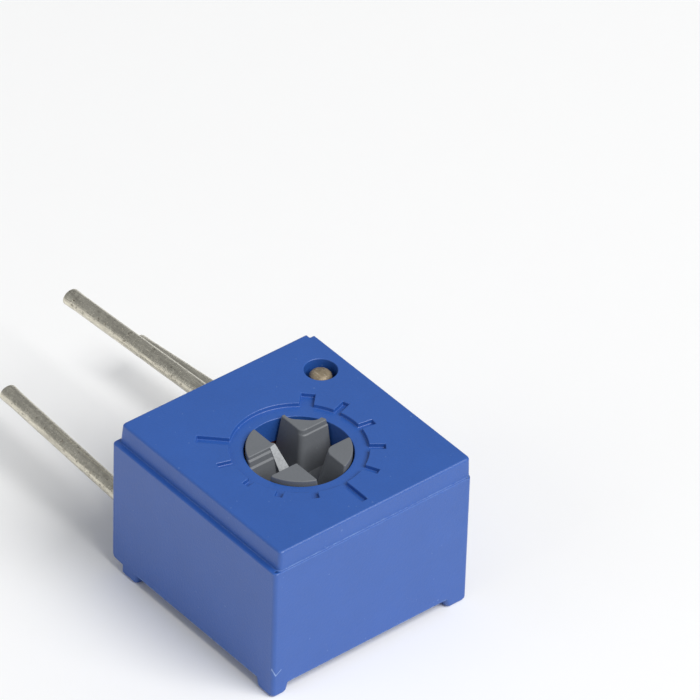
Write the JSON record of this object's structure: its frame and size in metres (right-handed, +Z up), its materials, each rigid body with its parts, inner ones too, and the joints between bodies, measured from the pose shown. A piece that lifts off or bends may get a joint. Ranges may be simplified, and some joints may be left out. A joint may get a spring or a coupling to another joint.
{
  "type": "trimmer potentiometer",
  "caption": "Square moulded trimmer potentiometer with a cross-slotted rotor in its top and round wire leads from one side.",
  "frame": {"origin": "on the rotor's axis, in the plane of the feet's tips (mount stand_plane)", "axes": "+Z up the rotor's axis to the scale face, +Y out of the face that the leads leave, +X along the row of leads"},
  "size_m": [0.0066, 0.0129, 0.0049],
  "materials": {
    "case_blue": "moulded thermoset, satin",
    "seal_blue": "cast epoxy, smooth",
    "rotor_grey": "moulded, satin",
    "tinned_wire": "tinned copper, dull and lightly pitted",
    "solder": "satin solder",
    "ceramic": "fired alumina ceramic, matt",
    "cermet": "fired cermet film",
    "silver_film": "fired silver film, satin",
    "spring_alloy": "spring strip, satin",
    "seal_rubber": "silicone rubber, matt"
  },
  "bodies": {
    "case": {"housing": "case_blue", "seal_ring": "seal_rubber", "element": "ceramic", "resistor_track": "cermet", "collector_track": "silver_film", "end_pad_left": "silver_film", "end_pad_right": "silver_film", "lead_left": "tinned_wire", "lead_middle": "tinned_wire", "lead_right": "tinned_wire", "solder_left": "solder", "solder_middle": "solder", "solder_right": "solder", "back_seal": "seal_blue"},
    "adjuster": {"rotor": "rotor_grey", "wiper": "spring_alloy"}
  },
  "joints": [
    {"name": "adjust", "type": "hinge", "parent": "case", "child": "adjuster", "pos_m": [0, 0, 0.00398], "axis": [0, 0, 1], "range_deg": [-135, 135]}
  ]
}
